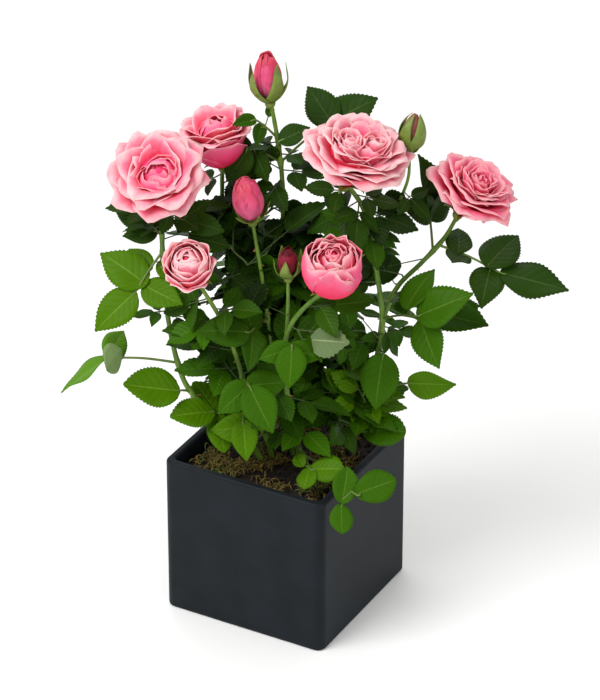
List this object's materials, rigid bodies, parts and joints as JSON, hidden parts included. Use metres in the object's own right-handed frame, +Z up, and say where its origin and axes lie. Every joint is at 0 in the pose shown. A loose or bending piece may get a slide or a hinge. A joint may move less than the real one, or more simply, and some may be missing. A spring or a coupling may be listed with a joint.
{
  "type": "potted miniature rose bush",
  "caption": "Miniature rose bush with open pink blooms, buds and toothed compound leaves, growing in a square dark ceramic pot that it stands on.",
  "frame": {"origin": "centre of the pot's flat underside", "axes": "+Z up, along the pot's height; X and Y square to the pot's sides"},
  "size_m": [0.289, 0.219, 0.4032],
  "materials": {
    "pot_ceramic": "anthracite satin glaze, slightly mottled",
    "compost": "moist peat compost with moss, matt and crumbly",
    "cane_green": "smooth green rose cane, a little waxy",
    "petal_pink": "soft pink rose petals, coral towards the heart",
    "bud_rose": "deep pink bud in green sepals",
    "leaf_green": "satin rose leaf, mid green",
    "foliage_dark": "satin rose leaf, dark green"
  },
  "bodies": {
    "root": {"pot": "pot_ceramic", "compost": "compost", "cane_back_left": "cane_green", "cane_bud": "cane_green", "cane_far_right": "cane_green", "cane_front": "cane_green", "cane_left": "cane_green", "cane_low_left": "cane_green", "cane_right": "cane_green", "cane_top": "cane_green", "twig_green_bud": "cane_green", "twig_red_bud": "cane_green", "bloom_back_left": "petal_pink", "bloom_front": "petal_pink", "bloom_left": "petal_pink", "bloom_low_left": "petal_pink", "bloom_middle": "petal_pink", "bloom_right": "petal_pink", "bud_green": "bud_rose", "bud_pink": "bud_rose", "bud_red": "bud_rose", "bud_top": "bud_rose", "leaf1_left_low": "leaf_green", "leaf1_right_hang": "leaf_green", "leaf1_right_low": "leaf_green", "leaf1_rim_right": "leaf_green", "leaf1_top_right": "leaf_green", "leaf3_behind_right": "leaf_green", "leaf3_centre_low": "leaf_green", "leaf3_corner": "leaf_green", "leaf3_front": "leaf_green", "leaf3_front_left": "leaf_green", "leaf3_front_low": "leaf_green", "leaf3_inner_left": "leaf_green", "leaf3_left_low": "leaf_green", "leaf3_left_top": "leaf_green", "leaf3_right_back": "leaf_green", "leaf3_right_front": "leaf_green", "leaf3_rim_left": "leaf_green", "leaf3_top_back": "leaf_green", "leaf3_top_left": "leaf_green", "leaf3_top_pale": "leaf_green", "leaf5_back_left": "leaf_green", "leaf5_back_middle": "leaf_green", "leaf5_back_right": "leaf_green", "leaf5_far_right": "leaf_green", "leaf5_left_upper": "leaf_green", "mass_back_low": "foliage_dark", "mass_back_upper": "foliage_dark", "mass_heart": "foliage_dark", "mass_heart_right": "foliage_dark", "mass_low_left": "foliage_dark", "mass_low_right": "foliage_dark", "mass_middle_left": "foliage_dark", "mass_middle_right": "foliage_dark", "mass_right_middle": "foliage_dark", "mass_right_upper": "foliage_dark", "mass_upper_back": "foliage_dark", "mass_upper_left": "foliage_dark", "mass_upper_middle": "foliage_dark"}
  },
  "joints": []
}
